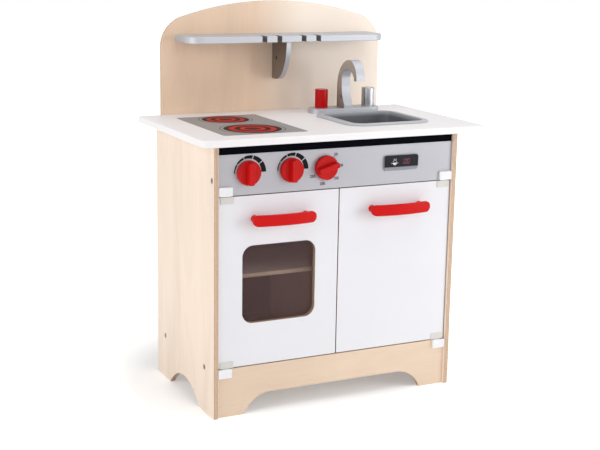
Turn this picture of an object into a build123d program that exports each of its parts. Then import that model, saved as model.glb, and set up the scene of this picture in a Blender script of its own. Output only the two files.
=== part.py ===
"""Play kitchen in plywood: a carcass with an oven door and a storage door, a hob, a sink with taps,
a control panel with three click knobs, and a splashback that carries a small shelf.

Millimetres. +Z is up, -Y is the front that a child stands at, and +X is to the right seen from
there. The origin is on the floor, under the middle of the kitchen's overall box.
"""

import os
from math import cos, radians, sin

from build123d import *

os.makedirs("parts", exist_ok=True)

# Carcass boards
panel_t = 12.0
body_width = 632.0
side_depth = 372.0
side_height = 640.0
front_recess = 6.0
edge_round = 1.0
side_arch_start = 91.0
side_arch_chord = 192.0
side_arch_height = 46.5
skirt_height = 116.0
skirt_arch_height = 47.0
skirt_arch_flat = 340.0
skirt_arch_end_r = 71.0
control_panel_z = 520.0
control_panel_height = 93.0
rail_setback = 2.0
rear_rail_height = 80.0
back_t = 4.0
oven_shelf_t = 9.0
oven_shelf_z = 318.0
oven_shelf_setback = 40.0
peg_r = 2.5
peg_length = 20.0
peg_edge_inset = 45.0
peg_hole_gap = 0.05

# Worktop
worktop_t = 16.0
top_overhang_side = 45.0
top_overhang_front = 54.0
worktop_corner_r = 16.0
worktop_edge_r = 2.0

# Splashback, its shelf and the shelf's bracket
splash_t = 12.0
splash_width = 602.0
splash_top_z = 930.0
splash_arc_r = 815.0
splash_corner_r = 75.0
splash_shelf_length = 532.0
splash_shelf_depth = 102.0
splash_shelf_z = 834.0
splash_shelf_t = 16.0
splash_shelf_corner_r = 38.0
splash_shelf_edge_r = 1.5
notch_width = 13.0
notch_depth = 38.0
notch_places = (-73.0, -33.0, 33.0, 73.0)
bracket_t = 12.0
bracket_top_depth = 85.0
bracket_foot_depth = 23.0
bracket_height = 97.0
bracket_bolt_drop = 44.0
bracket_nut_inset = 23.5
splash_screw_places = (-240.0, -80.0, 80.0, 240.0)
shelf_screw_places = (-220.0, -110.0, 110.0, 220.0)

# Hob, its two lamps and their battery box
hob_side_inset = 71.0
hob_front_inset = 58.0
hob_width = 208.0
hob_depth = 304.0
hob_t = 2.0
hob_corner_r = 9.0
hob_gap = 0.4
burner_front_inset = 81.0
burner_spacing = 160.0
lamp_r = 45.0
lamp_height = 20.0
lamp_lip = 4.0
lamp_lip_t = 2.0
lamp_gap = 0.5
battery_r = 7.2
battery_length = 50.0
battery_count = 3
battery_gap = 0.5
battery_wall = 2.0
battery_box_right_x = -12.0
battery_box_y = 0.0

# Sink basin
basin_x = 155.0
basin_front_inset = 83.0
basin_rim_width = 226.0
basin_plate_gap = 3.0
basin_rim_height = 4.0
basin_rim_r = 44.0
basin_rim_round = 2.5
basin_left_flange = 21.0
basin_right_flange = 13.0
basin_front_flange = 18.0
basin_back_flange = 9.0
basin_depth = 78.0
basin_wall = 2.5
basin_mouth_r = 27.0
basin_draft = 5.0
basin_floor_round = 12.0
basin_cutout_gap = 2.0
lift_gap = 0.3

# Tap plate and taps
tap_plate_x = 152.0
tap_plate_width = 190.0
tap_plate_depth = 60.0
tap_plate_t = 12.0
tap_plate_corner_r = 26.0
tap_plate_edge_r = 1.5
tap_plate_back_inset = 62.0
tap_places = {"hot": 93.0, "cold": 226.5}
tap_back_inset = 84.0
tap_r = 16.4
tap_height = 46.3
tap_round = 2.0
tap_spindle_r = 4.0
tap_spindle_bite = 30.0
tap_lock_r = 9.0
tap_lock_t = 2.0
seat_gap = 0.3
running_gap = 0.08
press_gap = 0.05

# Spout, seen from the side: heights over its foot, reaches from its bolt towards the front
spout_x = 151.5
spout_t = 24.0
spout_bolt_back_inset = 101.0
spout_heel = 22.0
spout_toe = 19.0
spout_toe_height = 8.0
spout_shoulder_height = 50.0
spout_height = 122.5
spout_apex_reach = 40.0
spout_reach = 80.0
spout_outlet_height = 73.0
spout_outlet_t = 14.0
spout_hook_height = 99.0
spout_hook_reach = 27.0
spout_neck_reach = 3.0
spout_neck_foot = 54.0
spout_neck_bow = 3.0
spout_nut_height = 26.0
spout_nut_length = 14.0
spout_bolt_bite = 10.0

# Knobs, seen from the front: a turn of 0 points the nose down, and 90 to the right
knob_places = {"oven_left": (-231.0, 0.0), "oven_right": (-125.0, 0.0), "thermostat": (-37.0, 107.0)}
knob_z = 570.0
knob_r = 28.2
knob_disc_t = 9.5
knob_round = 2.0
knob_grip_width = 15.0
knob_grip_end_r = 4.0
knob_grip_nose = 27.0
knob_grip_tail = 25.5
knob_grip_height = 13.5
knob_grip_taper = 4.0
knob_grip_round = 1.5
knob_gap = 0.8
knob_spindle_r = 4.0
knob_socket_depth = 12.0
click_wheel_r = 13.0
click_wheel_t = 6.0
click_wheel_gap = 0.4
click_teeth = 18
click_tooth_r = 1.4
click_spring_t = 1.0
click_spring_length = 34.0
click_foot = 8.0

# Display
display_x = 162.4
display_z = 551.7
display_width = 90.8
display_height = 36.0
display_corner_r = 5.5
display_base_t = 3.0
display_lens_t = 2.0
display_lip_height = 8.3

# Doors, window and handles
door_gap = 2.0
door_corner_r = 2.0
window_width = 184.0
window_height = 183.0
window_z = 219.0
window_corner_r = 26.0
pane_t = 3.0
pane_overlap = 11.0
pane_corner_r = 14.0
pane_screw_offset = 62.0
handle_z = 464.0
handle_spacing = 128.0
handle_length = 158.0
handle_height = 26.0
handle_t = 10.0
handle_reach_middle = 40.0
handle_reach_end = 31.0
handle_end_r = 12.5
handle_round = 2.5
handle_foot_r = 8.5
handle_screw_bite = 14.0

# Corner hinges: a fixed bracket with a pin, and a clip on the door that the pin stands in
hinge_inset = 20.0
hinge_side_gap = 0.5
hinge_plate_width = 33.5
hinge_plate_height = 21.0
hinge_plate_t = 6.0
hinge_plate_corner_r = 2.5
hinge_plate_round = 1.2
hinge_flange_t = 1.0
hinge_flange_half = 8.0
hinge_flange_back = 4.5
hinge_pin_r = 2.5
hinge_pin_length = 14.0
hinge_bore_extra = 1.5
hinge_screw_inset = 5.0
hinge_screw_spacing = 18.0
clip_side_gap = 6.0
clip_width = 32.0
clip_height = 15.5
clip_t = 2.0
clip_flange_t = 1.0
clip_flange_back = 1.0
clip_screw_offset = 11.0

# Magnet catches
catch_width = 14.0
catch_depth = 40.0
catch_height = 20.0
catch_top_gap = 18.0
catch_screw_inset = 10.0
magnet_width = 10.0
magnet_depth = 8.0
magnet_height = 16.0
strike_t = 1.0
strike_width = 12.0
strike_height = 34.0
strike_screw_inset = 3.0
strike_gap = 0.4

# Fasteners
bolt_r = 3.0
bolt_length = 46.0
bolt_head_r = 5.0
bolt_head_t = 3.5
bolt_head_gap = 1.7
bolt_head_sink = 4.0
bolt_end_gap = 1.0
hex_key = 4.0
hex_depth = 2.2
hole_gap = 0.1
nut_r = 5.0
nut_length = 9.5
nut_inset = 30.0
control_bolt_height = 36.0
board_bolt_front_inset = 58.0
board_bolt_back_inset = 55.0
screw_r = 2.0
screw_head_r = 3.6
screw_head_t = 2.2
screw_head_sink = 2.4
screw_length = 26.0
small_screw_r = 1.4
small_head_r = 2.4
small_head_t = 0.6
small_screw_length = 9.0
block_size = 20.0
block_length = 40.0
block_edge_inset = 48.0
block_screw_inset = 12.0
bracket_screw_length = 17.0

# Places worked out from the sizes above
worktop_front_y = -(top_overhang_front + side_depth + splash_t) / 2
front_y = worktop_front_y + top_overhang_front
back_y = front_y + side_depth
splash_back_y = back_y + splash_t
face_y = front_y + front_recess
face_back_y = face_y + panel_t
board_back_y = back_y - back_t
rear_rail_y = board_back_y - panel_t
divider_front_y = face_back_y + rail_setback
half_panel = panel_t / 2
inner_x = body_width / 2 - panel_t
board_z = skirt_height - panel_t
rail_z = control_panel_z + control_panel_height
rear_rail_z = side_height - rear_rail_height
worktop_z = side_height
worktop_top_z = worktop_z + worktop_t
worktop_half = body_width / 2 + top_overhang_side
plate_top_z = worktop_top_z + tap_plate_t
tap_y = back_y - tap_back_inset
spout_y = back_y - spout_bolt_back_inset
spout_foot_z = plate_top_z + seat_gap
hob_x = -worktop_half + hob_side_inset + hob_width / 2
hob_y = worktop_front_y + hob_front_inset + hob_depth / 2
hob_z = worktop_top_z - hob_t
front_burner_y = worktop_front_y + hob_front_inset + burner_front_inset
burner_places = (front_burner_y, front_burner_y + burner_spacing)
basin_front_y = worktop_front_y + basin_front_inset
tap_plate_front_y = back_y - tap_plate_back_inset - tap_plate_depth
basin_rim_depth = tap_plate_front_y - basin_plate_gap - basin_front_y
basin_y = basin_front_y + basin_rim_depth / 2
basin_z = worktop_top_z + lift_gap
basin_top_z = basin_z + basin_rim_height
mouth_x = basin_x + (basin_left_flange - basin_right_flange) / 2
mouth_y = basin_y + (basin_front_flange - basin_back_flange) / 2
mouth_width = basin_rim_width - basin_left_flange - basin_right_flange
mouth_depth = basin_rim_depth - basin_front_flange - basin_back_flange
bowl_width = mouth_width + 2 * basin_wall
bowl_depth = mouth_depth + 2 * basin_wall
bowl_r = basin_mouth_r + basin_wall
door_width = inner_x - door_gap - door_gap / 2
door_x = door_gap / 2 + door_width / 2
door_bottom_z = skirt_height + door_gap
door_top_z = control_panel_z - door_gap
door_height = door_top_z - door_bottom_z
window_mid_z = window_z + window_height / 2
hinge_x = inner_x - hinge_inset
hinge_y = face_y + half_panel
hinge_bore_r = hinge_pin_r + running_gap
hinge_plate_x = inner_x - hinge_side_gap - hinge_plate_width / 2
clip_x = inner_x - clip_side_gap - clip_width / 2
catch_y = face_back_y + strike_t + strike_gap
catch_z = control_panel_z - catch_top_gap - catch_height / 2
catch_screw_y = catch_y + catch_depth - catch_screw_inset
strike_x = half_panel + catch_width / 2
hinge_screw_bite = bracket_screw_length - panel_t
catch_screw_bite = bracket_screw_length - catch_width
block_screw_bite = screw_length - block_size
nut_hole_depth = half_panel + nut_length / 2 + hole_gap
bolt_bite = bolt_length - (panel_t - bolt_head_sink) + bolt_end_gap
block_x = inner_x - block_size / 2
block_z = worktop_z - block_size / 2
block_places = (front_y + block_edge_inset, back_y - block_edge_inset - block_length)
SIDES = {"left": -1, "right": 1}
DOORS = {"oven": -1, "storage": 1}
hinge_levels = {1: control_panel_z, -1: skirt_height}
door_levels = {1: door_top_z, -1: door_bottom_z}
peg_places = (front_y + oven_shelf_setback + peg_edge_inset, board_back_y - peg_edge_inset)
peg_z = oven_shelf_z + oven_shelf_t / 2
pane_screws = [
    (-door_x + across * x_offset, window_mid_z + level * z_offset)
    for across in (-1, 1)
    for level in (-1, 1)
    for x_offset, z_offset in (
        (window_width / 2 + pane_overlap / 2, pane_screw_offset),
        (pane_screw_offset, window_height / 2 + pane_overlap / 2),
    )
]
CORNER = (Align.MIN, Align.MIN, Align.MIN)
QUARTER = 90
BACK, FRONT = (0, 1, 0), (0, -1, 0)
UP, DOWN = (0, 0, 1), (0, 0, -1)
SIDE_BOLTS = (
    (face_y + half_panel, control_panel_z + control_bolt_height, BACK),
    (front_y + board_bolt_front_inset, board_z + half_panel, DOWN),
    (back_y - board_bolt_back_inset, board_z + half_panel, DOWN),
)


def upright(y):
    """The upright plane at depth y: X to the right, Z up, facing the front."""
    return Plane.XZ.offset(-y)


def shifted(point, direction, distance):
    """The point moved by a distance along a direction."""
    return tuple(place + part * distance for place, part in zip(point, direction))


def rod(start, direction, radius, length, mode=Mode.ADD):
    """Add a round bar to the part being built, or cut it away as a hole."""
    with BuildSketch(Plane(origin=start, z_dir=direction)) as section:
        Circle(radius)
    extrude(section.sketch, amount=length, mode=mode)


def hole(start, direction, radius, depth):
    """Cut a round hole into the part being built."""
    rod(start, direction, radius, depth, mode=Mode.SUBTRACT)


def screw(seat, direction, length, radius=screw_r, head_r=screw_head_r, head_t=screw_head_t):
    """Add a pan-head screw: seat is the middle of the head's underside."""
    rod(seat, direction, radius, length)
    rod(seat, tuple(-part for part in direction), head_r, head_t)


def small_screw(seat, direction):
    """Add a small flat-head screw, as in the door clips and strike plates."""
    screw(seat, direction, small_screw_length, small_screw_r, small_head_r, small_head_t)


def hex_bolt(seat, direction, length):
    """Add a flat-headed bolt with a hexagon socket."""
    away = tuple(-part for part in direction)
    rod(seat, direction, bolt_r, length)
    rod(seat, away, bolt_head_r, bolt_head_t)
    head_top = shifted(seat, away, bolt_head_t)
    with BuildSketch(Plane(origin=head_top, z_dir=direction)) as socket:
        RegularPolygon(hex_key / 2, 6, major_radius=False)
    extrude(socket.sketch, amount=hex_depth, mode=Mode.SUBTRACT)


def bracket_screw_places(sign, level, edge_z):
    """X and Z of the two screws that hold one hinge bracket."""
    screw_z = edge_z + level * (hinge_plate_height - hinge_screw_inset)
    middle_x = sign * hinge_plate_x
    return [(middle_x + side * hinge_screw_spacing / 2, screw_z) for side in (-1, 1)]


# Side panels
for side, sign in SIDES.items():
    arch_r = (side_arch_chord**2 / 4 + side_arch_height**2) / (2 * side_arch_height)
    with BuildPart() as side_panel:
        with BuildSketch(Plane.YZ.offset(min(sign * inner_x, sign * body_width / 2))):
            with Locations((front_y + side_depth / 2, side_height / 2)):
                Rectangle(side_depth, side_height)
            arch_y = front_y + side_arch_start + side_arch_chord / 2
            with Locations((arch_y, side_arch_height - arch_r)):
                Circle(arch_r, mode=Mode.SUBTRACT)
        extrude(amount=panel_t)
        front_edges = side_panel.edges().filter_by(Axis.Z).group_by(Axis.Y)[0]
        fillet(front_edges, edge_round)
        for bolt_y, bolt_z, _ in SIDE_BOLTS:
            outside = (sign * body_width / 2, bolt_y, bolt_z)
            hole(outside, (-sign, 0, 0), bolt_head_r + bolt_head_gap, bolt_head_sink)
            hole(outside, (-sign, 0, 0), bolt_r + hole_gap, panel_t)
        for block_y in block_places:
            inside = (sign * inner_x, block_y + block_length - block_screw_inset, block_z)
            hole(inside, (sign, 0, 0), screw_r + hole_gap, block_screw_bite + hole_gap)
        if side == "left":
            for peg_y in peg_places:
                inside = (-inner_x, peg_y, peg_z)
                hole(inside, (-1, 0, 0), peg_r + peg_hole_gap, peg_length / 2)
    side_panel.part.label = f"side_panel_{side}"
    export_step(side_panel.part, f"parts/side_panel_{side}.step")

# Front skirt with its long arch
with BuildPart() as front_skirt:
    with BuildSketch(upright(face_y)):
        with Locations((0, skirt_height / 2)):
            Rectangle(2 * inner_x, skirt_height)
        with Locations((0, skirt_arch_height / 2)):
            Rectangle(skirt_arch_flat, skirt_arch_height, mode=Mode.SUBTRACT)
        end_z = skirt_arch_height - skirt_arch_end_r
        with Locations((-skirt_arch_flat / 2, end_z), (skirt_arch_flat / 2, end_z)):
            Circle(skirt_arch_end_r, mode=Mode.SUBTRACT)
    extrude(amount=-panel_t)
    for sign in DOORS.values():
        for screw_x, screw_z in bracket_screw_places(sign, -1, skirt_height):
            hole((screw_x, face_back_y, screw_z), FRONT, screw_r + hole_gap, panel_t)
front_skirt.part.label = "front_skirt"
export_step(front_skirt.part, "parts/front_skirt.step")

# Bottom board
with BuildPart() as bottom_board:
    with Locations((-inner_x, face_back_y, board_z)):
        Box(2 * inner_x, board_back_y - face_back_y, panel_t, align=CORNER)
    for bolt_y, bolt_z, _ in SIDE_BOLTS[1:]:
        for sign in SIDES.values():
            hole((sign * inner_x, bolt_y, bolt_z), (-sign, 0, 0), bolt_r + hole_gap, bolt_bite)
            nut_mouth = (sign * (inner_x - nut_inset), bolt_y, board_z)
            hole(nut_mouth, UP, nut_r + hole_gap, nut_hole_depth)
bottom_board.part.label = "bottom_board"
export_step(bottom_board.part, "parts/bottom_board.step")

# Centre divider, notched at the back for the rear rail
with BuildPart() as centre_divider:
    with BuildSketch(Plane.YZ.offset(-half_panel)):
        with BuildLine():
            Polyline(
                (divider_front_y, skirt_height),
                (board_back_y, skirt_height),
                (board_back_y, rear_rail_z),
                (rear_rail_y, rear_rail_z),
                (rear_rail_y, worktop_z),
                (divider_front_y, worktop_z),
                close=True,
            )
        make_face()
    extrude(amount=panel_t)
    for peg_y in peg_places:
        face = (-half_panel, peg_y, peg_z)
        hole(face, (1, 0, 0), peg_r + peg_hole_gap, peg_length / 2)
    for sign in SIDES.values():
        face = (sign * half_panel, catch_screw_y, catch_z)
        hole(face, (-sign, 0, 0), screw_r + hole_gap, catch_screw_bite + hole_gap)
centre_divider.part.label = "centre_divider"
export_step(centre_divider.part, "parts/centre_divider.step")

# Control panel
with BuildPart() as control_panel:
    with Locations((-inner_x, face_y, control_panel_z)):
        Box(2 * inner_x, panel_t, control_panel_height, align=CORNER)
    for knob_x, _ in knob_places.values():
        hole((knob_x, face_y, knob_z), BACK, knob_spindle_r + running_gap, panel_t)
    bolt_y, bolt_z, _ = SIDE_BOLTS[0]
    for sign in SIDES.values():
        hole((sign * inner_x, bolt_y, bolt_z), (-sign, 0, 0), bolt_r + hole_gap, bolt_bite)
        nut_mouth = (sign * (inner_x - nut_inset), face_back_y, bolt_z)
        hole(nut_mouth, FRONT, nut_r + hole_gap, nut_hole_depth)
        for screw_x, screw_z in bracket_screw_places(sign, 1, control_panel_z):
            hole((screw_x, face_back_y, screw_z), FRONT, screw_r + hole_gap, panel_t)
control_panel.part.label = "control_panel"
export_step(control_panel.part, "parts/control_panel.step")

# Top rail, between control panel and worktop
with BuildPart() as top_rail:
    with Locations((-inner_x, face_y + rail_setback, rail_z)):
        Box(2 * inner_x, panel_t, worktop_z - rail_z, align=CORNER)
top_rail.part.label = "top_rail"
export_step(top_rail.part, "parts/top_rail.step")

# Rear rail, which the splashback is screwed to
with BuildPart() as rear_rail:
    with Locations((-inner_x, rear_rail_y, rear_rail_z)):
        Box(2 * inner_x, panel_t, rear_rail_height, align=CORNER)
    for screw_x in splash_screw_places:
        tip_depth = screw_length - (splash_t - screw_head_sink) - back_t + hole_gap
        mouth = (screw_x, board_back_y, rear_rail_z + rear_rail_height / 2)
        hole(mouth, FRONT, screw_r + hole_gap, tip_depth)
rear_rail.part.label = "rear_rail"
export_step(rear_rail.part, "parts/rear_rail.step")

# Back panel
with BuildPart() as back_panel:
    with Locations((-inner_x, board_back_y, board_z)):
        Box(2 * inner_x, back_t, worktop_z - board_z, align=CORNER)
    for screw_x in splash_screw_places:
        mouth = (screw_x, back_y, rear_rail_z + rear_rail_height / 2)
        hole(mouth, FRONT, screw_r + hole_gap, back_t)
back_panel.part.label = "back_panel"
export_step(back_panel.part, "parts/back_panel.step")

# Oven shelf and its pegs
shelf_front_y = front_y + oven_shelf_setback
shelf_ends = {-inner_x: 1, -half_panel: -1}
with BuildPart() as oven_shelf:
    with Locations((-inner_x, shelf_front_y, oven_shelf_z)):
        Box(inner_x - half_panel, board_back_y - shelf_front_y, oven_shelf_t, align=CORNER)
    fillet(oven_shelf.edges().filter_by(Axis.X).group_by(Axis.Y)[0], edge_round)
    for end_x, inward in shelf_ends.items():
        for peg_y in peg_places:
            end = (end_x, peg_y, peg_z)
            hole(end, (inward, 0, 0), peg_r + peg_hole_gap, peg_length / 2)
oven_shelf.part.label = "oven_shelf"
export_step(oven_shelf.part, "parts/oven_shelf.step")

with BuildPart() as shelf_pegs:
    for end_x in shelf_ends:
        for peg_y in peg_places:
            start = (end_x - peg_length / 2, peg_y, peg_z)
            rod(start, (1, 0, 0), peg_r, peg_length)
shelf_pegs.part.label = "shelf_pegs"
export_step(shelf_pegs.part, "parts/shelf_pegs.step")

# Worktop with the sink cut-out, the hob's recess and the lamps' holes
with BuildPart() as worktop:
    with BuildSketch(Plane.XY.offset(worktop_z)) as outline:
        with Locations((0, (worktop_front_y + back_y) / 2)):
            Rectangle(2 * worktop_half, back_y - worktop_front_y)
        fillet(outline.vertices().group_by(Axis.Y)[0], worktop_corner_r)
    extrude(amount=worktop_t)
    fillet(worktop.edges().group_by(Axis.Z)[-1], worktop_edge_r)
    fillet(worktop.edges().group_by(Axis.Z)[0], worktop_edge_r)
    with BuildSketch(Plane.XY.offset(worktop_z)):
        with Locations((mouth_x, mouth_y)):
            RectangleRounded(
                bowl_width + 2 * basin_cutout_gap,
                bowl_depth + 2 * basin_cutout_gap,
                bowl_r + basin_cutout_gap,
            )
    extrude(amount=worktop_t, mode=Mode.SUBTRACT)
    with BuildSketch(Plane.XY.offset(hob_z)):
        with Locations((hob_x, hob_y)):
            recess_r = hob_corner_r + hob_gap
            RectangleRounded(hob_width + 2 * hob_gap, hob_depth + 2 * hob_gap, recess_r)
    extrude(amount=hob_t, mode=Mode.SUBTRACT)
    for burner_y in burner_places:
        hole((hob_x, burner_y, worktop_z), UP, lamp_r + lamp_gap, worktop_t)
    for tap_x in tap_places.values():
        hole((tap_x, tap_y, worktop_z), UP, tap_spindle_r + running_gap, worktop_t)
    hole((spout_x, spout_y, worktop_z), UP, bolt_r + running_gap, worktop_t)
    for sign in SIDES.values():
        for block_y in block_places:
            below = (sign * block_x, block_y + block_screw_inset, worktop_z)
            hole(below, UP, screw_r + hole_gap, block_screw_bite + hole_gap)
worktop.part.label = "worktop"
export_step(worktop.part, "parts/worktop.step")

# Corner blocks that tie the worktop to the side panels
with BuildPart() as corner_blocks:
    for sign in SIDES.values():
        for block_y in block_places:
            with Locations((sign * block_x, block_y + block_length / 2, block_z)):
                Box(block_size, block_length, block_size)
            below = (sign * block_x, block_y + block_screw_inset, worktop_z - block_size)
            hole(below, UP, screw_r + hole_gap, block_size)
            screw_y = block_y + block_length - block_screw_inset
            inner_face = (sign * (inner_x - block_size), screw_y, block_z)
            hole(inner_face, (sign, 0, 0), screw_r + hole_gap, block_size)
corner_blocks.part.label = "corner_blocks"
export_step(corner_blocks.part, "parts/corner_blocks.step")

# Side bolts, the bracket's bolt and their barrel nuts
bracket_bolt_z = splash_shelf_z - bracket_bolt_drop
bracket_seat = (0, splash_back_y - bolt_head_sink, bracket_bolt_z)
with BuildPart() as cabinet_bolts:
    for sign in SIDES.values():
        for bolt_y, bolt_z, _ in SIDE_BOLTS:
            seat = (sign * (body_width / 2 - bolt_head_sink), bolt_y, bolt_z)
            hex_bolt(seat, (-sign, 0, 0), bolt_length)
    hex_bolt(bracket_seat, FRONT, bolt_length)
cabinet_bolts.part.label = "cabinet_bolts"
export_step(cabinet_bolts.part, "parts/cabinet_bolts.step")

with BuildPart() as barrel_nuts:
    for sign in SIDES.values():
        for bolt_y, bolt_z, nut_way in SIDE_BOLTS:
            middle = (sign * (inner_x - nut_inset), bolt_y, bolt_z)
            rod(shifted(middle, nut_way, -nut_length / 2), nut_way, nut_r, nut_length)
            hole(shifted(middle, (sign, 0, 0), nut_r), (-sign, 0, 0), bolt_r + press_gap, 2 * nut_r)
    nut_y = back_y - bracket_nut_inset
    rod((-nut_length / 2, nut_y, bracket_bolt_z), (1, 0, 0), nut_r, nut_length)
    hole((0, nut_y + nut_r, bracket_bolt_z), FRONT, bolt_r + press_gap, 2 * nut_r)
barrel_nuts.part.label = "barrel_nuts"
export_step(barrel_nuts.part, "parts/barrel_nuts.step")

# Hob panel, let in flush with the worktop
with BuildPart() as hob_panel:
    with BuildSketch(Plane.XY.offset(hob_z)):
        with Locations((hob_x, hob_y)):
            RectangleRounded(hob_width, hob_depth, hob_corner_r)
    extrude(amount=hob_t)
hob_panel.part.label = "hob_panel"
export_step(hob_panel.part, "parts/hob_panel.step")

# Burner lamps, pushed up from below against the hob panel
with BuildPart() as burner_lamps:
    for burner_y in burner_places:
        rod((hob_x, burner_y, hob_z - lamp_height), UP, lamp_r, lamp_height)
        rod((hob_x, burner_y, worktop_z), DOWN, lamp_r + lamp_lip, lamp_lip_t)
burner_lamps.part.label = "burner_lamps"
export_step(burner_lamps.part, "parts/burner_lamps.step")

# Battery box, its cover and the cells
cell_pitch = 2 * battery_r + battery_gap
box_inner_length = battery_length + 2 * battery_gap
box_inner_depth = battery_count * cell_pitch + battery_gap
box_inner_height = 2 * battery_r + 2 * battery_gap
box_length = box_inner_length + 2 * battery_wall
box_depth = box_inner_depth + 2 * battery_wall
box_height = box_inner_height + battery_wall
box_x = battery_box_right_x - box_length / 2
with BuildPart() as battery_box:
    with Locations((box_x, battery_box_y, worktop_z - box_height / 2)):
        Box(box_length, box_depth, box_height)
    with Locations((box_x, battery_box_y, worktop_z - box_height + box_inner_height / 2)):
        Box(box_inner_length, box_inner_depth, box_inner_height, mode=Mode.SUBTRACT)
battery_box.part.label = "battery_box"
export_step(battery_box.part, "parts/battery_box.step")

with BuildPart() as battery_cover:
    with Locations((box_x, battery_box_y, worktop_z - box_height - battery_wall / 2)):
        Box(box_length, box_depth, battery_wall)
    fillet(battery_cover.edges().filter_by(Axis.Z), battery_wall)
battery_cover.part.label = "battery_cover"
export_step(battery_cover.part, "parts/battery_cover.step")

with BuildPart() as batteries:
    for cell in range(battery_count):
        cell_y = battery_box_y + (cell - (battery_count - 1) / 2) * cell_pitch
        cell_z = worktop_z - box_height + battery_gap + battery_r
        rod((box_x - battery_length / 2, cell_y, cell_z), (1, 0, 0), battery_r, battery_length)
batteries.part.label = "batteries"
export_step(batteries.part, "parts/batteries.step")

# Sink basin, which hangs by its rim and lifts out
with BuildPart() as sink_basin:
    with BuildSketch(Plane.XY.offset(basin_z)):
        with Locations((basin_x, basin_y)):
            RectangleRounded(basin_rim_width, basin_rim_depth, basin_rim_r)
    extrude(amount=basin_rim_height)
    fillet(sink_basin.edges().group_by(Axis.Z)[-1], basin_rim_round)
    below_rim = Plane(origin=(mouth_x, mouth_y, basin_z), x_dir=(1, 0, 0), z_dir=(0, 0, -1))
    with BuildSketch(below_rim):
        RectangleRounded(bowl_width, bowl_depth, bowl_r)
    extrude(amount=basin_depth - basin_rim_height, taper=basin_draft)
    mouth = Plane(origin=(mouth_x, mouth_y, basin_top_z), x_dir=(1, 0, 0), z_dir=(0, 0, -1))
    with BuildSketch(mouth):
        RectangleRounded(mouth_width, mouth_depth, basin_mouth_r)
    extrude(amount=basin_depth - basin_wall, taper=basin_draft, mode=Mode.SUBTRACT)
    fillet(sink_basin.edges().group_by(Axis.Z)[1], basin_floor_round - basin_wall)
    fillet(sink_basin.edges().group_by(Axis.Z)[0], basin_floor_round)
sink_basin.part.label = "sink_basin"
export_step(sink_basin.part, "parts/sink_basin.step")

# Tap plate behind the basin
with BuildPart() as tap_plate:
    with BuildSketch(Plane.XY.offset(worktop_top_z)):
        with Locations((tap_plate_x, tap_plate_front_y + tap_plate_depth / 2)):
            RectangleRounded(tap_plate_width, tap_plate_depth, tap_plate_corner_r)
    extrude(amount=tap_plate_t)
    fillet(tap_plate.edges().group_by(Axis.Z)[-1], tap_plate_edge_r)
    for tap_x in tap_places.values():
        hole((tap_x, tap_y, worktop_top_z), UP, tap_spindle_r + running_gap, tap_plate_t)
    hole((spout_x, spout_y, worktop_top_z), UP, bolt_r + running_gap, tap_plate_t)
tap_plate.part.label = "tap_plate"
export_step(tap_plate.part, "parts/tap_plate.step")

# Taps, each on a spindle that is locked under the worktop
for tap, tap_x in tap_places.items():
    with BuildPart() as tap_body:
        rod((tap_x, tap_y, plate_top_z + seat_gap), UP, tap_r, tap_height)
        fillet(tap_body.edges().group_by(Axis.Z)[-1], tap_round)
        hole((tap_x, tap_y, plate_top_z + seat_gap), UP, tap_spindle_r + press_gap, tap_spindle_bite)
    tap_body.part.label = f"{tap}_tap"
    export_step(tap_body.part, f"parts/{tap}_tap.step")

    spindle_length = seat_gap + worktop_t + tap_plate_t + seat_gap + tap_spindle_bite
    with BuildPart() as tap_spindle:
        rod((tap_x, tap_y, worktop_z - seat_gap), UP, tap_spindle_r, spindle_length)
        rod((tap_x, tap_y, worktop_z - seat_gap), DOWN, tap_lock_r, tap_lock_t)
    tap_spindle.part.label = f"{tap}_tap_spindle"
    export_step(tap_spindle.part, f"parts/{tap}_tap_spindle.step")

# Swan-neck spout on one bolt
with BuildPart() as spout:
    foot = (spout_x - spout_t / 2, spout_y, spout_foot_z)
    with BuildSketch(Plane(origin=foot, x_dir=(0, 1, 0), z_dir=(1, 0, 0))):
        with BuildLine():
            Line((spout_heel, 0), (spout_heel, spout_shoulder_height))
            EllipticalCenterArc(
                (-spout_apex_reach, spout_shoulder_height),
                spout_heel + spout_apex_reach,
                spout_height - spout_shoulder_height,
                start_angle=0,
                arc_size=QUARTER,
            )
            EllipticalCenterArc(
                (-spout_apex_reach, spout_outlet_height),
                spout_reach - spout_apex_reach,
                spout_height - spout_outlet_height,
                start_angle=QUARTER,
                arc_size=QUARTER,
            )
            hook_front = spout_outlet_t - spout_reach
            Line((-spout_reach, spout_outlet_height), (hook_front, spout_outlet_height))
            EllipticalCenterArc(
                (-spout_hook_reach, spout_outlet_height),
                -spout_hook_reach - hook_front,
                spout_hook_height - spout_outlet_height,
                start_angle=QUARTER,
                arc_size=QUARTER,
            )
            EllipticalCenterArc(
                (-spout_hook_reach, spout_outlet_height),
                spout_hook_reach - spout_neck_reach,
                spout_hook_height - spout_outlet_height,
                start_angle=0,
                arc_size=QUARTER,
            )
            Line((-spout_neck_reach, spout_outlet_height), (-spout_neck_reach, spout_neck_foot))
            SagittaArc(
                (-spout_neck_reach, spout_neck_foot),
                (-spout_toe, spout_toe_height),
                spout_neck_bow,
            )
            Line((-spout_toe, spout_toe_height), (-spout_toe, 0))
            Line((-spout_toe, 0), (spout_heel, 0))
        make_face()
    extrude(amount=spout_t)
    nut_z = spout_foot_z + spout_nut_height
    hole((spout_x, spout_y, spout_foot_z), UP, bolt_r + hole_gap, spout_nut_height + spout_bolt_bite)
    hole((spout_x - spout_t / 2, spout_y, nut_z), (1, 0, 0), nut_r + hole_gap, spout_t)
spout.part.label = "spout"
export_step(spout.part, "parts/spout.step")

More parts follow.
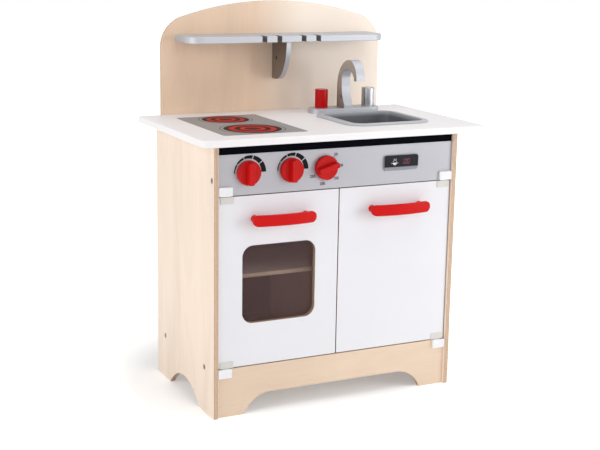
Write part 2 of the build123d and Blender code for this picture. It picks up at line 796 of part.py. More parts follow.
with BuildPart() as spout_bolt:
    under_worktop = (spout_x, spout_y, worktop_z - seat_gap)
    bolt_top_z = nut_z + spout_bolt_bite - bolt_end_gap
    hex_bolt(under_worktop, UP, bolt_top_z - under_worktop[2])
spout_bolt.part.label = "spout_bolt"
export_step(spout_bolt.part, "parts/spout_bolt.step")

with BuildPart() as spout_barrel_nut:
    rod((spout_x - spout_nut_length / 2, spout_y, nut_z), (1, 0, 0), nut_r, spout_nut_length)
    hole((spout_x, spout_y, nut_z - nut_r), UP, bolt_r + press_gap, 2 * nut_r)
spout_barrel_nut.part.label = "spout_barrel_nut"
export_step(spout_barrel_nut.part, "parts/spout_barrel_nut.step")

# Splashback with its bowed top
with BuildPart() as splashback:
    with BuildSketch(upright(back_y)) as outline:
        with Locations((0, (rear_rail_z + splash_top_z) / 2)):
            Rectangle(splash_width, splash_top_z - rear_rail_z)
        with Locations((0, splash_top_z - splash_arc_r)):
            Circle(splash_arc_r, mode=Mode.INTERSECT)
        shoulders = outline.vertices().group_by(Axis.Y)[-1]
        fillet(shoulders, splash_corner_r)
    extrude(amount=-splash_t)
    rim = splashback.faces().sort_by(Axis.Y)[0].edges()
    fillet(rim, edge_round)
    shelf_mid_z = splash_shelf_z + splash_shelf_t / 2
    rail_mid_z = rear_rail_z + rear_rail_height / 2
    screw_places = [(screw_x, rail_mid_z) for screw_x in splash_screw_places]
    screw_places += [(screw_x, shelf_mid_z) for screw_x in shelf_screw_places]
    for screw_x, screw_z in screw_places:
        behind = (screw_x, splash_back_y, screw_z)
        hole(behind, FRONT, screw_head_r + hole_gap, screw_head_sink)
        hole(behind, FRONT, screw_r + hole_gap, splash_t)
    hole((0, splash_back_y, bracket_bolt_z), FRONT, bolt_head_r + bolt_head_gap, bolt_head_sink)
    hole((0, splash_back_y, bracket_bolt_z), FRONT, bolt_r + hole_gap, splash_t)
splashback.part.label = "splashback"
export_step(splashback.part, "parts/splashback.step")

# Wood screws through the splashback and the corner blocks
with BuildPart() as wood_screws:
    for screw_x, screw_z in screw_places:
        screw((screw_x, splash_back_y - screw_head_sink, screw_z), FRONT, screw_length)
    for sign in SIDES.values():
        for block_y in block_places:
            below = (sign * block_x, block_y + block_screw_inset, worktop_z - block_size)
            screw(below, UP, screw_length)
            screw_y = block_y + block_length - block_screw_inset
            screw((sign * (inner_x - block_size), screw_y, block_z), (sign, 0, 0), screw_length)
wood_screws.part.label = "wood_screws"
export_step(wood_screws.part, "parts/wood_screws.step")

# Splash shelf with notches for hanging tools
with BuildPart() as splash_shelf:
    shelf_edge_y = back_y - splash_shelf_depth
    with BuildSketch(Plane.XY.offset(splash_shelf_z)) as outline:
        with Locations((0, back_y - splash_shelf_depth / 2)):
            Rectangle(splash_shelf_length, splash_shelf_depth)
        fillet(outline.vertices().group_by(Axis.Y)[0], splash_shelf_corner_r)
        straight = notch_depth - notch_width / 2
        with Locations([(notch_x, shelf_edge_y + straight / 2) for notch_x in notch_places]):
            Rectangle(notch_width, straight, mode=Mode.SUBTRACT)
        with Locations([(notch_x, shelf_edge_y + straight) for notch_x in notch_places]):
            Circle(notch_width / 2, mode=Mode.SUBTRACT)
    extrude(amount=splash_shelf_t)
    top_rim = splash_shelf.edges().group_by(Axis.Z)[-1].sort_by(Axis.Y)[:-1]
    bottom_rim = splash_shelf.edges().group_by(Axis.Z)[0].sort_by(Axis.Y)[:-1]
    fillet(top_rim + bottom_rim, splash_shelf_edge_r)
    bite = screw_length - (splash_t - screw_head_sink) + hole_gap
    for screw_x in shelf_screw_places:
        hole((screw_x, back_y, shelf_mid_z), FRONT, screw_r + hole_gap, bite)
splash_shelf.part.label = "splash_shelf"
export_step(splash_shelf.part, "parts/splash_shelf.step")

# Bracket under the splash shelf
with BuildPart() as shelf_bracket:
    with BuildSketch(Plane.YZ.offset(-bracket_t / 2)):
        foot_y = back_y - bracket_foot_depth
        with BuildLine():
            Line((back_y, splash_shelf_z), (back_y - bracket_top_depth, splash_shelf_z))
            EllipticalCenterArc(
                (foot_y, splash_shelf_z),
                bracket_top_depth - bracket_foot_depth,
                bracket_height,
                start_angle=2 * QUARTER,
                arc_size=QUARTER,
            )
            Line((foot_y, splash_shelf_z - bracket_height), (back_y, splash_shelf_z - bracket_height))
            Line((back_y, splash_shelf_z - bracket_height), (back_y, splash_shelf_z))
        make_face()
    extrude(amount=bracket_t)
    bite = bolt_length - (splash_t - bolt_head_sink) + bolt_end_gap
    hole((0, back_y, bracket_bolt_z), FRONT, bolt_r + hole_gap, bite)
    nut_mouth = (-bracket_t / 2, back_y - bracket_nut_inset, bracket_bolt_z)
    hole(nut_mouth, (1, 0, 0), nut_r + hole_gap, bracket_t / 2 + nut_length / 2 + hole_gap)
shelf_bracket.part.label = "shelf_bracket"
export_step(shelf_bracket.part, "parts/shelf_bracket.step")

# Display: a grey base with a black lens over all but its lower lip
with BuildPart() as display_base:
    with BuildSketch(upright(face_y)):
        with Locations((display_x, display_z + display_height / 2)):
            RectangleRounded(display_width, display_height, display_corner_r)
    extrude(amount=display_base_t)
display_base.part.label = "display_base"
export_step(display_base.part, "parts/display_base.step")

with BuildPart() as display_lens:
    with BuildSketch(upright(face_y - display_base_t)):
        with Locations((display_x, display_z + display_height / 2)):
            RectangleRounded(display_width, display_height, display_corner_r)
        with Locations((display_x, display_z + display_lip_height / 2)):
            Rectangle(display_width, display_lip_height, mode=Mode.SUBTRACT)
    extrude(amount=display_lens_t)
display_lens.part.label = "display_lens"
export_step(display_lens.part, "parts/display_lens.step")

# Knobs with their click spindles
knob_back_y = face_y - knob_gap
wheel_y = face_back_y + click_wheel_gap
for knob_name, (knob_x, turn) in knob_places.items():
    across = (cos(radians(turn)), 0, sin(radians(turn)))
    knob_plane = Plane(origin=(knob_x, knob_back_y, knob_z), x_dir=across, z_dir=(0, -1, 0))
    with BuildPart() as knob:
        with BuildSketch(knob_plane):
            Circle(knob_r)
        extrude(amount=knob_disc_t)
        fillet(knob.faces().sort_by(Axis.Y)[0].edges(), knob_round)
        with BuildSketch(knob_plane.offset(knob_disc_t - knob_round)):
            with Locations((0, (knob_grip_tail - knob_grip_nose) / 2)):
                RectangleRounded(knob_grip_width, knob_grip_tail + knob_grip_nose, knob_grip_end_r)
        extrude(amount=knob_grip_height + knob_round, taper=knob_grip_taper)
        fillet(knob.faces().sort_by(Axis.Y)[0].edges(), knob_grip_round)
        hole((knob_x, knob_back_y, knob_z), FRONT, knob_spindle_r + press_gap, knob_socket_depth)
    knob.part.label = f"knob_{knob_name}"
    export_step(knob.part, f"parts/knob_{knob_name}.step")

    wheel_back_y = wheel_y + click_wheel_t
    socket_y = knob_back_y - knob_socket_depth
    with BuildPart() as knob_spindle:
        rod((knob_x, socket_y, knob_z), BACK, knob_spindle_r, wheel_back_y - socket_y)
        rod((knob_x, wheel_y, knob_z), BACK, click_wheel_r, click_wheel_t)
        for tooth in range(click_teeth):
            angle = radians(360 * (tooth + 0.5) / click_teeth)
            notch = (knob_x + click_wheel_r * cos(angle), wheel_y, knob_z + click_wheel_r * sin(angle))
            hole(notch, BACK, click_tooth_r, click_wheel_t)
    knob_spindle.part.label = f"knob_spindle_{knob_name}"
    export_step(knob_spindle.part, f"parts/knob_spindle_{knob_name}.step")

# Leaf springs that the click wheels run under
with BuildPart() as click_springs:
    for knob_x, _ in knob_places.values():
        leaf_z = knob_z + click_wheel_r + click_wheel_gap
        with Locations((knob_x - click_spring_length / 2, face_back_y, leaf_z)):
            Box(click_spring_length, click_wheel_t, click_spring_t, align=CORNER)
            Box(click_foot, click_wheel_t, click_foot, align=CORNER)
click_springs.part.label = "click_springs"
export_step(click_springs.part, "parts/click_springs.step")

# Doors, with what is fixed to each of them
for door_name, sign in DOORS.items():
    strike_places = [
        (sign * strike_x, face_back_y, catch_z + level * (strike_height / 2 - strike_screw_inset))
        for level in door_levels
    ]
    handle_places = [sign * door_x + end * handle_spacing / 2 for end in (-1, 1)]
    with BuildPart() as door:
        with BuildSketch(upright(face_y)):
            with Locations((sign * door_x, (door_bottom_z + door_top_z) / 2)):
                RectangleRounded(door_width, door_height, door_corner_r)
            if door_name == "oven":
                with Locations((sign * door_x, window_mid_z)):
                    RectangleRounded(window_width, window_height, window_corner_r, mode=Mode.SUBTRACT)
        extrude(amount=-panel_t)
        fillet(door.faces().sort_by(Axis.Y)[0].edges(), edge_round)
        for level, edge_z in door_levels.items():
            inward = (0, 0, -level)
            slot_depth = panel_t - clip_flange_back
            flange_z = edge_z - level * clip_flange_t / 2
            with Locations((sign * clip_x, face_y + slot_depth / 2, flange_z)):
                Box(clip_width, slot_depth, clip_flange_t, mode=Mode.SUBTRACT)
            bore_depth = hinge_flange_t + hinge_pin_length - door_gap + hinge_bore_extra
            hole((sign * hinge_x, hinge_y, edge_z), inward, hinge_bore_r, bore_depth)
            screw_place = (sign * (hinge_x - clip_screw_offset), hinge_y, edge_z)
            hole(screw_place, inward, small_screw_r + hole_gap, small_screw_length + hole_gap)
        for place in strike_places:
            hole(place, FRONT, small_screw_r + hole_gap, small_screw_length - strike_t + hole_gap)
        for handle_x in handle_places:
            hole((handle_x, face_back_y, handle_z), FRONT, screw_r + hole_gap, panel_t)
        if door_name == "oven":
            for screw_x, screw_z in pane_screws:
                bite = small_screw_length - pane_t + hole_gap
                hole((screw_x, face_back_y, screw_z), FRONT, small_screw_r + hole_gap, bite)
    door.part.label = f"{door_name}_door"
    export_step(door.part, f"parts/{door_name}_door.step")

    with BuildPart() as handle:
        with BuildSketch(Plane.XY.offset(handle_z - handle_height / 2)):
            half = handle_length / 2
            middle_y = face_y - handle_reach_middle
            end_y = face_y - handle_reach_end
            left_x = sign * door_x - half
            right_x = sign * door_x + half
            with BuildLine():
                ThreePointArc((left_x, end_y), (sign * door_x, middle_y), (right_x, end_y))
                Line((right_x, end_y), (right_x, end_y + handle_t))
                ThreePointArc(
                    (right_x, end_y + handle_t),
                    (sign * door_x, middle_y + handle_t),
                    (left_x, end_y + handle_t),
                )
                Line((left_x, end_y + handle_t), (left_x, end_y))
            make_face()
        extrude(amount=handle_height)
        with BuildSketch(upright(face_y - handle_reach_middle - handle_t)):
            with Locations((sign * door_x, handle_z)):
                RectangleRounded(handle_length, handle_height, handle_end_r)
        extrude(amount=-(handle_reach_middle + handle_t), mode=Mode.INTERSECT)
        fillet(handle.edges(), handle_round)
        for handle_x in handle_places:
            rod((handle_x, face_y, handle_z), FRONT, handle_foot_r, handle_reach_end - handle_t / 2)
            hole((handle_x, face_y, handle_z), FRONT, screw_r + hole_gap, handle_screw_bite + hole_gap)
    handle.part.label = f"{door_name}_handle"
    export_step(handle.part, f"parts/{door_name}_handle.step")

    with BuildPart() as handle_screws:
        for handle_x in handle_places:
            screw((handle_x, face_back_y, handle_z), FRONT, panel_t + handle_screw_bite)
    handle_screws.part.label = f"{door_name}_handle_screws"
    export_step(handle_screws.part, f"parts/{door_name}_handle_screws.step")

    with BuildPart() as door_clips:
        for level, edge_z in door_levels.items():
            with Locations((sign * clip_x, face_y - clip_t / 2, edge_z - level * clip_height / 2)):
                Box(clip_width, clip_t, clip_height)
            flange_depth = clip_t + panel_t - clip_flange_back
            flange_z = edge_z - level * clip_flange_t / 2
            with Locations((sign * clip_x, face_y - clip_t + flange_depth / 2, flange_z)):
                Box(clip_width, flange_depth, clip_flange_t)
            inward = (0, 0, -level)
            hole((sign * hinge_x, hinge_y, edge_z), inward, hinge_bore_r, clip_flange_t)
            screw_place = (sign * (hinge_x - clip_screw_offset), hinge_y, edge_z)
            hole(screw_place, inward, small_screw_r + hole_gap, clip_flange_t)
    door_clips.part.label = f"{door_name}_door_clips"
    export_step(door_clips.part, f"parts/{door_name}_door_clips.step")

    with BuildPart() as strike_plate:
        with Locations((sign * strike_x, face_back_y + strike_t / 2, catch_z)):
            Box(strike_width, strike_t, strike_height)
        for place in strike_places:
            hole(place, BACK, small_screw_r + hole_gap, strike_t)
    strike_plate.part.label = f"{door_name}_strike_plate"
    export_step(strike_plate.part, f"parts/{door_name}_strike_plate.step")

    with BuildPart() as door_screws:
        for level, edge_z in door_levels.items():
            small_screw((sign * (hinge_x - clip_screw_offset), hinge_y, edge_z), (0, 0, -level))
        for place in strike_places:
            small_screw(shifted(place, BACK, strike_t), FRONT)
        if door_name == "oven":
            for screw_x, screw_z in pane_screws:
                small_screw((screw_x, face_back_y + pane_t, screw_z), FRONT)
    door_screws.part.label = f"{door_name}_door_screws"
    export_step(door_screws.part, f"parts/{door_name}_door_screws.step")

# Oven window pane, on the inside of the oven door
with BuildPart() as window_pane:
    with BuildSketch(upright(face_back_y)):
        with Locations((-door_x, window_mid_z)):
            pane_width = window_width + 2 * pane_overlap
            pane_height = window_height + 2 * pane_overlap
            RectangleRounded(pane_width, pane_height, pane_corner_r)
    extrude(amount=-pane_t)
    for screw_x, screw_z in pane_screws:
        hole((screw_x, face_back_y, screw_z), BACK, small_screw_r + hole_gap, pane_t)
window_pane.part.label = "window_pane"
export_step(window_pane.part, "parts/window_pane.step")

# Fixed hinge brackets: a plate on the front, a flange into the door gap and a pin
with BuildPart() as hinge_brackets:
    for sign in DOORS.values():
        for level, edge_z in hinge_levels.items():
            with BuildSketch(upright(face_y)):
                with Locations((sign * hinge_plate_x, edge_z + level * hinge_plate_height / 2)):
                    RectangleRounded(hinge_plate_width, hinge_plate_height, hinge_plate_corner_r)
            extrude(amount=hinge_plate_t)
    fillet(hinge_brackets.faces().group_by(Axis.Y)[0].edges(), hinge_plate_round)
    for sign in DOORS.values():
        for level, edge_z in hinge_levels.items():
            flange_depth = hinge_y + hinge_flange_back - face_y + hinge_plate_t / 2
            flange_y = hinge_y + hinge_flange_back - flange_depth / 2
            with Locations((sign * hinge_x, flange_y, edge_z - level * hinge_flange_t / 2)):
                Box(2 * hinge_flange_half, flange_depth, hinge_flange_t)
            pin_length = hinge_flange_t + hinge_pin_length
            rod((sign * hinge_x, hinge_y, edge_z), (0, 0, -level), hinge_pin_r, pin_length)
            for screw_x, screw_z in bracket_screw_places(sign, level, edge_z):
                hole((screw_x, face_y, screw_z), FRONT, screw_r + hole_gap, hinge_screw_bite + hole_gap)
hinge_brackets.part.label = "hinge_brackets"
export_step(hinge_brackets.part, "parts/hinge_brackets.step")

# Magnet catches on both sides of the divider
with BuildPart() as magnet_catches:
    for sign in DOORS.values():
        with Locations((sign * strike_x, catch_y + catch_depth / 2, catch_z)):
            Box(catch_width, catch_depth, catch_height)
        with Locations((sign * strike_x, catch_y + magnet_depth / 2, catch_z)):
            Box(magnet_width, magnet_depth, magnet_height, mode=Mode.SUBTRACT)
        outside = (sign * (half_panel + catch_width), catch_screw_y, catch_z)
        hole(outside, (-sign, 0, 0), screw_r + hole_gap, catch_width)
magnet_catches.part.label = "magnet_catches"
export_step(magnet_catches.part, "parts/magnet_catches.step")

with BuildPart() as catch_magnets:
    for sign in DOORS.values():
        with Locations((sign * strike_x, catch_y + magnet_depth / 2, catch_z)):
            Box(magnet_width, magnet_depth, magnet_height)
catch_magnets.part.label = "catch_magnets"
export_step(catch_magnets.part, "parts/catch_magnets.step")

# Screws that hold the hinge brackets and the catches
with BuildPart() as bracket_screws:
    for sign in DOORS.values():
        for level, edge_z in hinge_levels.items():
            for screw_x, screw_z in bracket_screw_places(sign, level, edge_z):
                screw((screw_x, face_back_y, screw_z), FRONT, bracket_screw_length)
        outside = (sign * (half_panel + catch_width), catch_screw_y, catch_z)
        screw(outside, (-sign, 0, 0), bracket_screw_length)
bracket_screws.part.label = "bracket_screws"
export_step(bracket_screws.part, "parts/bracket_screws.step")
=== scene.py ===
"""The looks of the play kitchen: finishes, printed graphics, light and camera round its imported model.

Metres, in the model's own frame. +Z is up, -Y is the front, +X is to the right seen from there.
"""

from math import cos, pi, radians, sin, sqrt

import bmesh
import bpy
from mathutils import Matrix, Vector


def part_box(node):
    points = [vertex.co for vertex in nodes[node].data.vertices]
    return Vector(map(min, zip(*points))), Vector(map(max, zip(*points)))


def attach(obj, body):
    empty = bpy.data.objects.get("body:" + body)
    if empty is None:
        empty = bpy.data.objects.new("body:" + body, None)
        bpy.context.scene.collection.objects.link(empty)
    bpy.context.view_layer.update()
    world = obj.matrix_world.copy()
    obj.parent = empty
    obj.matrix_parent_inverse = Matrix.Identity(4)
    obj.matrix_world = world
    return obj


MM = 0.001

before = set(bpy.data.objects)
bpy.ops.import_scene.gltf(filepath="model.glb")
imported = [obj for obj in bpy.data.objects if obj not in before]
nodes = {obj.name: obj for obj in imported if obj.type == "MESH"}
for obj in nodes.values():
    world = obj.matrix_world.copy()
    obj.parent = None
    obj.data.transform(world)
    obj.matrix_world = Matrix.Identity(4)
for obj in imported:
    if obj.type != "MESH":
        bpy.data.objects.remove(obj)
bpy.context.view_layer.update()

# Camera, as it stood for the photograph
CAMERA_TARGET = Vector((-0.1032, -0.1650, 0.4411))
CAMERA_AZIMUTH = radians(-26.290)
CAMERA_ELEVATION = radians(12.729)
CAMERA_ROLL = radians(0.976)
CAMERA_DISTANCE = 2.8578
CAMERA_LENS = 74.825

# Printed graphics
INK_HEIGHT = 0.06 * MM
RING_STEPS = 96
DOT_EDGE_STEPS = 12
POT_STEPS = 16


class Finish:
    """One material: a Principled shader, and short ways to add nodes that feed it."""

    def __init__(self, name, color, roughness, metallic=0.0, specular=0.5):
        self.material = bpy.data.materials.new(name)
        self.material.use_nodes = True
        self.tree = self.material.node_tree
        self.shader = self.tree.nodes["Principled BSDF"]
        self.set("Base Color", (*color, 1.0))
        self.set("Roughness", roughness)
        self.set("Metallic", metallic)
        self.set("Specular IOR Level", specular)
        self.coordinates = self.add("ShaderNodeTexCoord")

    def set(self, socket, value):
        """A number or colour on the shader, or the output of another node."""
        if isinstance(value, bpy.types.NodeSocket):
            self.tree.links.new(value, self.shader.inputs[socket])
        else:
            self.shader.inputs[socket].default_value = value

    def add(self, kind, inputs=None, **settings):
        """A new node, with its inputs set or joined."""
        node = self.tree.nodes.new(kind)
        for name, value in settings.items():
            setattr(node, name, value)
        for socket, value in (inputs or {}).items():
            if isinstance(value, bpy.types.NodeSocket):
                self.tree.links.new(value, node.inputs[socket])
            else:
                node.inputs[socket].default_value = value
        return node

    def math(self, operation, a, b=0.0):
        return self.add("ShaderNodeMath", {0: a, 1: b}, operation=operation).outputs[0]

    def mix(self, factor, a, b, blend_type="MIX"):
        inputs = {0: factor, 6: a, 7: b}
        node = self.add("ShaderNodeMix", inputs, data_type="RGBA", blend_type=blend_type)
        return node.outputs[2]

    def multiply(self, color, shade, factor=1.0):
        """A colour darkened by a shade."""
        return self.mix(factor, color, shade, "MULTIPLY")

    def place(self, axis):
        """Where a point lies along one axis, in metres."""
        return self.add("ShaderNodeSeparateXYZ", {0: self.coordinates.outputs["Object"]}).outputs[axis]

    def facing(self, axis):
        """How far a face looks along one axis, from -1 to 1."""
        return self.add("ShaderNodeSeparateXYZ", {0: self.coordinates.outputs["Normal"]}).outputs[axis]

    def map_range(self, value, first, last, low=0.0, high=1.0):
        """Low at the first value and high at the last, even in between."""
        inputs = {0: value, 1: first, 2: last, 3: low, 4: high}
        return self.add("ShaderNodeMapRange", inputs).outputs[0]

    def noise(self, stretch, detail=4.0, roughness=0.55, distortion=0.0):
        """Noise that varies stretch times per metre, along X, Y and Z alike or each in its own way."""
        if not isinstance(stretch, tuple):
            stretch = (stretch, stretch, stretch)
        place = self.add("ShaderNodeMapping", {0: self.coordinates.outputs["Object"], 3: stretch})
        inputs = {
            "Vector": place.outputs[0],
            "Scale": 1.0,
            "Detail": detail,
            "Roughness": roughness,
            "Distortion": distortion,
        }
        return self.add("ShaderNodeTexNoise", inputs).outputs["Fac"]

    def ramp(self, value, *stops):
        """Colours or grey levels by value; each stop is (place, level or colour)."""
        node = self.add("ShaderNodeValToRGB", {0: value})
        elements = node.color_ramp.elements
        while len(elements) < len(stops):
            elements.new(1.0)
        for element, (place, color) in zip(elements, stops):
            element.position = place
            element.color = (*color, 1.0) if isinstance(color, tuple) else (color, color, color, 1.0)
        return node.outputs[0]

    def bump(self, height, distance, strength=1.0):
        inputs = {"Height": height, "Distance": distance, "Strength": strength}
        self.set("Normal", self.add("ShaderNodeBump", inputs).outputs[0])

    def put_on(self, *names):
        """Give this finish to CAD nodes."""
        for name in names:
            for material_slot in nodes[name].material_slots:
                material_slot.material = self.material


def along(axis, length_rate, cross_rate):
    """Noise rates that are low along an axis and high across it, as wood fibres are."""
    return tuple(length_rate if name == axis else cross_rate for name in "XYZ")


# Wood

PLY_LAYER = 1.7 * MM
PLY_WANDER = 0.10
PLY_LONG = (0.74, 0.56, 0.41)
PLY_END = (0.50, 0.33, 0.22)
PLY_GLUE = (0.34, 0.20, 0.13)
# Painted shade: darkens the doors' bare ply edges, for the shade in the gaps round them
EDGE_PAINTED_SHADE = (0.60, 0.57, 0.60)
EDGE_FACING = 0.75

# Painted light: a paler colour over the right half of the splashback's front, for light falling from the
# right
SPLASH_PAINTED_LIGHT = (0.94, 0.85, 0.745)
SPLASH_LIGHT_SHARE = 0.8
SPLASH_LIGHT_START = -0.06
SPLASH_LIGHT_END = 0.08


def shaded(color, level):
    """A colour with each part at this level."""
    return tuple(part * level for part in color)


def veneer(finish, grain, color):
    """Rotary-cut birch: broad pale figure, fine fibres and a few short flecks."""
    figure = finish.noise(along(grain, 1.8, 9.0), detail=3.0, distortion=1.2)
    tone = finish.ramp(figure, (0.32, shaded(color, 0.90)), (0.50, shaded(color, 0.96)), (0.66, color))
    fibres = finish.noise(along(grain, 9.0, 420.0), detail=5.0, roughness=0.7)
    tone = finish.multiply(tone, finish.ramp(fibres, (0.25, 0.88), (0.60, 1.0)), 0.5)
    flecks = finish.noise(along(grain, 60.0, 700.0), detail=2.0)
    return finish.multiply(tone, finish.ramp(flecks, (0.22, 0.74), (0.30, 1.0)), 0.35), fibres


def ply_edge(finish, node, layer_axis):
    """Sawn ply edge: long-grain and end-grain layers in turn, with thin glue lines between."""
    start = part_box(node)[0]["XYZ".index(layer_axis)]
    depth = finish.math("SUBTRACT", finish.place(layer_axis), start)
    wander = finish.math("MULTIPLY", finish.noise(14.0, detail=2.0), PLY_WANDER)
    layer = finish.math("ADD", finish.math("DIVIDE", depth, 2 * PLY_LAYER), wander)
    phase = finish.math("FRACT", layer)
    bands = finish.ramp(
        phase,
        (0.02, PLY_GLUE),
        (0.07, PLY_LONG),
        (0.47, PLY_LONG),
        (0.52, PLY_GLUE),
        (0.57, PLY_END),
        (0.97, PLY_END),
    )
    fibres = finish.noise(260.0, roughness=0.7)
    return finish.multiply(bands, finish.ramp(fibres, (0.30, 0.72), (0.62, 1.08)), 0.7)


def edge_mask(finish, layer_axis):
    """1 on a board's edges and 0 on its two faces."""
    return finish.math("LESS_THAN", finish.math("ABSOLUTE", finish.facing(layer_axis)), EDGE_FACING)


def splash_light_mask(finish):
    """Painted light: grows from the left half of a board's front to its right half, and is 0 on its back.
    """
    share = finish.map_range(finish.place("X"), SPLASH_LIGHT_START, SPLASH_LIGHT_END, high=SPLASH_LIGHT_SHARE)
    return finish.math("MULTIPLY", share, finish.math("LESS_THAN", finish.facing("Y"), 0.0))


def plywood(node, grain, layer_axis, color):
    """Clear-lacquered birch plywood for one board."""
    finish = Finish(f"birch_{node}", color, 0.48, specular=0.3)
    face, fibres = veneer(finish, grain, color)
    if node == "splashback":
        # Painted light over the right half of the splashback's front
        face = finish.mix(splash_light_mask(finish), face, (*SPLASH_PAINTED_LIGHT, 1.0))
    edge = ply_edge(finish, node, layer_axis)
    finish.set("Base Color", finish.mix(edge_mask(finish, layer_axis), face, edge))
    finish.set("Roughness", finish.ramp(fibres, (0.2, 0.56), (0.8, 0.44)))
    finish.bump(fibres, 0.05 * MM, 0.35)
    finish.put_on(node)


def painted_board(node, color, roughness, layer_axis=None, specular=0.4):
    """Sprayed paint with a faint orange peel; with layer_axis the sawn edges stay bare ply, darkened by
    painted shade.
    """
    finish = Finish(f"paint_{node}", color, roughness, specular=specular)
    cloud = finish.noise(5.0, detail=2.0)
    tone = finish.multiply((*color, 1.0), finish.ramp(cloud, (0.3, 0.975), (0.7, 1.0)))
    if layer_axis:
        edge = finish.multiply(ply_edge(finish, node, layer_axis), (*EDGE_PAINTED_SHADE, 1.0))
        tone = finish.mix(edge_mask(finish, layer_axis), tone, edge)
    finish.set("Base Color", tone)
    peel = finish.noise(900.0, detail=2.0)
    finish.set("Roughness", finish.ramp(cloud, (0.3, roughness + 0.05), (0.7, roughness - 0.03)))
    finish.bump(peel, 0.012 * MM, 0.3)
    finish.put_on(node)


# Faces that look this far to a side take painted shade, from none to all of it
SIDE_FACING = (0.75, 0.95)
SIDE_SHADE_REACH = 0.2
FLAKE_DEPTH = 0.006 * MM


def painted_side_shade(finish, node, tone, side_shades):
    """A tone with painted shade on the left and right faces, from one shade at their foot to one at their
    top.
    """
    foot, top = (corner[2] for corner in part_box(node))
    rise = finish.map_range(finish.place("Z"), foot, top)
    side_shade = finish.ramp(rise, (0.0, side_shades[0]), (1.0, side_shades[1]))
    sideways = finish.map_range(finish.math("ABSOLUTE", finish.facing("X")), *SIDE_FACING)
    inner = finish.math("LESS_THAN", finish.math("ABSOLUTE", finish.place("X")), SIDE_SHADE_REACH)
    mask = finish.math("MULTIPLY", sideways, inner)
    return finish.mix(mask, tone, finish.multiply(tone, side_shade))


def silver_paint(name, color, roughness, metallic, node, side_shades=None, flake_depth=FLAKE_DEPTH):
    """Paint with fine metal flakes, with painted shade on its left and right faces where side shades are
    given.
    """
    finish = Finish(name, color, roughness, metallic=metallic, specular=0.3)
    flakes = finish.noise(3200.0, detail=1.0, roughness=0.9)
    cloud = finish.noise(7.0, detail=2.0)
    tone = finish.multiply((*color, 1.0), finish.ramp(flakes, (0.35, 0.93), (0.65, 1.04)))
    tone = finish.multiply(tone, finish.ramp(cloud, (0.3, 0.97), (0.7, 1.02)))
    if side_shades:
        tone = painted_side_shade(finish, node, tone, side_shades)
    finish.set("Base Color", tone)
    finish.set("Roughness", finish.ramp(flakes, (0.3, roughness + 0.05), (0.7, roughness - 0.05)))
    finish.bump(flakes, flake_depth, 0.4)
    finish.put_on(node)


def plastic(name, color, roughness, *names, specular=0.3, grain_rate=1500.0, cloudiness=0.04):
    """Moulded plastic with a fine eroded grain and slight clouds in its colour."""
    finish = Finish(name, color, roughness, specular=specular)
    cloud = finish.noise(18.0, detail=2.0)
    shade = finish.ramp(cloud, (0.3, 1.0 - cloudiness), (0.7, 1.0))
    finish.set("Base Color", finish.multiply((*color, 1.0), shade))
    grain = finish.noise(grain_rate, detail=2.0)
    finish.set("Roughness", finish.ramp(grain, (0.3, roughness + 0.04), (0.7, roughness - 0.03)))
    finish.bump(grain, 0.006 * MM, 0.4)
    finish.put_on(*names)


def metal(name, color, roughness, *names):
    """Bright plated steel with turning marks."""
    finish = Finish(name, color, roughness, metallic=1.0)
    marks = finish.noise(1400.0, detail=3.0)
    finish.set("Roughness", finish.ramp(marks, (0.3, roughness + 0.1), (0.7, roughness - 0.05)))
    finish.bump(marks, 0.008 * MM, 0.4)
    finish.put_on(*names)


def ink(name, color):
    """Screen-printing ink, with a slightly uneven film."""
    finish = Finish(name, color, 0.6, specular=0.1)
    film = finish.noise(420.0, detail=3.0)
    shade = finish.ramp(film, (0.3, 0.88), (0.7, 1.0))
    finish.set("Base Color", finish.multiply((*color, 1.0), shade))
    return finish.material


# Lit and shaded copies of one birch: paler for painted light on the side panels and oven shelf, darker for
# painted shade on the splashback
BIRCH_PAINTED_LIGHT = (0.91, 0.76, 0.635)
FRONT_BIRCH = (0.80, 0.625, 0.475)
BIRCH_PAINTED_SHADE = (0.78, 0.575, 0.42)
# Each board's grain axis, layer axis and colour
PLYWOOD = {
    "side_panel_left": ("Z", "X", BIRCH_PAINTED_LIGHT),
    "side_panel_right": ("Z", "X", BIRCH_PAINTED_LIGHT),
    "front_skirt": ("X", "Y", FRONT_BIRCH),
    "bottom_board": ("X", "Z", FRONT_BIRCH),
    "centre_divider": ("Z", "X", FRONT_BIRCH),
    "rear_rail": ("X", "Y", FRONT_BIRCH),
    "oven_shelf": ("X", "Z", BIRCH_PAINTED_LIGHT),
    "splashback": ("Z", "Y", BIRCH_PAINTED_SHADE),
}
for board, (board_grain, board_layer_axis, board_color) in PLYWOOD.items():
    plywood(board, board_grain, board_layer_axis, board_color)

WHITE_PAINT = (0.78, 0.78, 0.81)
painted_board("worktop", (0.86, 0.835, 0.84), 0.42)
painted_board("oven_door", WHITE_PAINT, 0.46, layer_axis="Y")
painted_board("storage_door", WHITE_PAINT, 0.46, layer_axis="Y")
painted_board("top_rail", (0.0015, 0.002, 0.004), 0.6, specular=0.02)
painted_board("back_panel", (0.30, 0.19, 0.115), 0.62)

PANEL_SILVER = (0.39, 0.39, 0.415)
SHELF_SILVER = (0.46, 0.47, 0.50)
# Painted light: the spout's silver is paler than the shelf's, though it is the same paint
SPOUT_LIT_SILVER = (0.51, 0.515, 0.55)
TAP_SILVER = (0.40, 0.41, 0.43)
